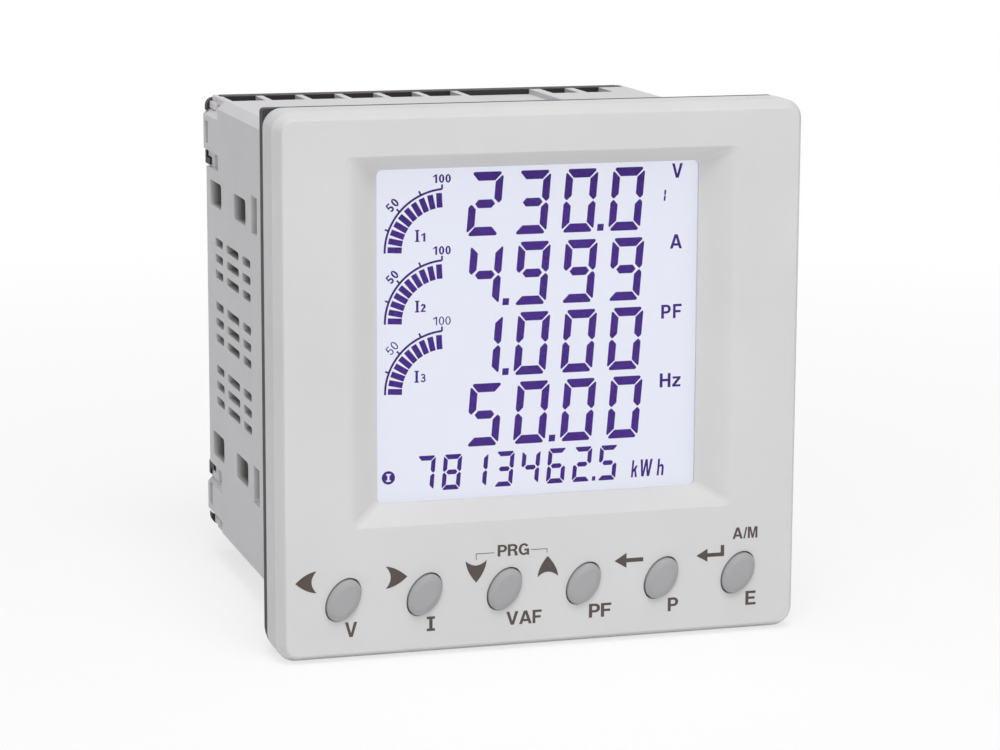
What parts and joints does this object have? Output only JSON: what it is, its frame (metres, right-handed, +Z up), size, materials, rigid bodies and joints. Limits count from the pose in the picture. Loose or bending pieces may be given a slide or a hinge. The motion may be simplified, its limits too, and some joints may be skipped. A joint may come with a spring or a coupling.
{
  "type": "panel power meter",
  "caption": "Square panel-mounted multifunction power meter with a recessed liquid-crystal display, oval keys and a vented case with terminal pockets.",
  "frame": {"origin": "under the middle of the whole meter, on the bezel's lower edge", "axes": "+X right as seen from the front, +Y depth into the panel (the display faces -Y), +Z up"},
  "size_m": [0.096, 0.0878, 0.096],
  "materials": {
    "housing_plastic": "fine satin texture",
    "case_plastic": "fine satin texture",
    "key_plastic": "smooth satin",
    "dark_plastic": "satin",
    "gasket_rubber": "matt",
    "clear_acrylic": "clear, polished",
    "display_glass": "polished, backlit",
    "light_guide": "milky",
    "zebra_rubber": "matt",
    "circuit_board": "solder mask",
    "switch_plastic": "moulded",
    "plunger_plastic": "moulded",
    "terminal_steel": "nickel plated",
    "transformer_steel": "laminated",
    "potted_coil": "potted",
    "capacitor_sleeve": "shrunk sleeve"
  },
  "bodies": {
    "meter": {"front_bezel": "housing_plastic", "display_window": "clear_acrylic", "lcd_glass": "display_glass", "lcd_light_guide": "light_guide", "lcd_frame": "light_guide", "zebra_strip_upper": "zebra_rubber", "zebra_strip_lower": "zebra_rubber", "panel_gasket": "gasket_rubber", "case_body": "case_plastic", "rear_cover": "dark_plastic", "terminal_block_upper": "dark_plastic", "terminal_block_lower": "dark_plastic", "display_board": "circuit_board", "power_board": "circuit_board", "measuring_board": "circuit_board", "board_header_front": "switch_plastic", "board_header_rear": "switch_plastic", "power_transformer": "transformer_steel", "smoothing_capacitor": "capacitor_sleeve", "switch_body_1": "switch_plastic", "switch_body_2": "switch_plastic", "switch_body_3": "switch_plastic", "switch_body_4": "switch_plastic", "switch_body_5": "switch_plastic", "switch_body_6": "switch_plastic", "current_transformer_1": "potted_coil", "current_transformer_2": "potted_coil", "current_transformer_3": "potted_coil", "terminal_upper_1": "terminal_steel", "terminal_upper_2": "terminal_steel", "terminal_upper_3": "terminal_steel", "terminal_upper_4": "terminal_steel", "terminal_upper_5": "terminal_steel", "terminal_upper_6": "terminal_steel", "terminal_upper_7": "terminal_steel", "terminal_upper_8": "terminal_steel", "terminal_lower_1": "terminal_steel", "terminal_lower_2": "terminal_steel", "terminal_lower_3": "terminal_steel", "terminal_lower_4": "terminal_steel", "terminal_lower_5": "terminal_steel", "terminal_lower_6": "terminal_steel", "terminal_lower_7": "terminal_steel", "terminal_lower_8": "terminal_steel"},
    "volts_button": {"key_volts": "key_plastic", "switch_plunger_1": "plunger_plastic"},
    "amps_button": {"key_amps": "key_plastic", "switch_plunger_2": "plunger_plastic"},
    "vaf_button": {"key_vaf": "key_plastic", "switch_plunger_3": "plunger_plastic"},
    "factor_button": {"key_factor": "key_plastic", "switch_plunger_4": "plunger_plastic"},
    "power_button": {"key_power": "key_plastic", "switch_plunger_5": "plunger_plastic"},
    "energy_button": {"key_energy": "key_plastic", "switch_plunger_6": "plunger_plastic"}
  },
  "joints": [
    {"name": "volts_press", "type": "slide", "parent": "meter", "child": "volts_button", "axis": [0, 1, 0], "range_m": [0, 0.0005], "stiffness_N_per_m": 2000},
    {"name": "amps_press", "type": "slide", "parent": "meter", "child": "amps_button", "axis": [0, 1, 0], "range_m": [0, 0.0005], "stiffness_N_per_m": 2000},
    {"name": "vaf_press", "type": "slide", "parent": "meter", "child": "vaf_button", "axis": [0, 1, 0], "range_m": [0, 0.0005], "stiffness_N_per_m": 2000},
    {"name": "factor_press", "type": "slide", "parent": "meter", "child": "factor_button", "axis": [0, 1, 0], "range_m": [0, 0.0005], "stiffness_N_per_m": 2000},
    {"name": "power_press", "type": "slide", "parent": "meter", "child": "power_button", "axis": [0, 1, 0], "range_m": [0, 0.0005], "stiffness_N_per_m": 2000},
    {"name": "energy_press", "type": "slide", "parent": "meter", "child": "energy_button", "axis": [0, 1, 0], "range_m": [0, 0.0005], "stiffness_N_per_m": 2000}
  ]
}
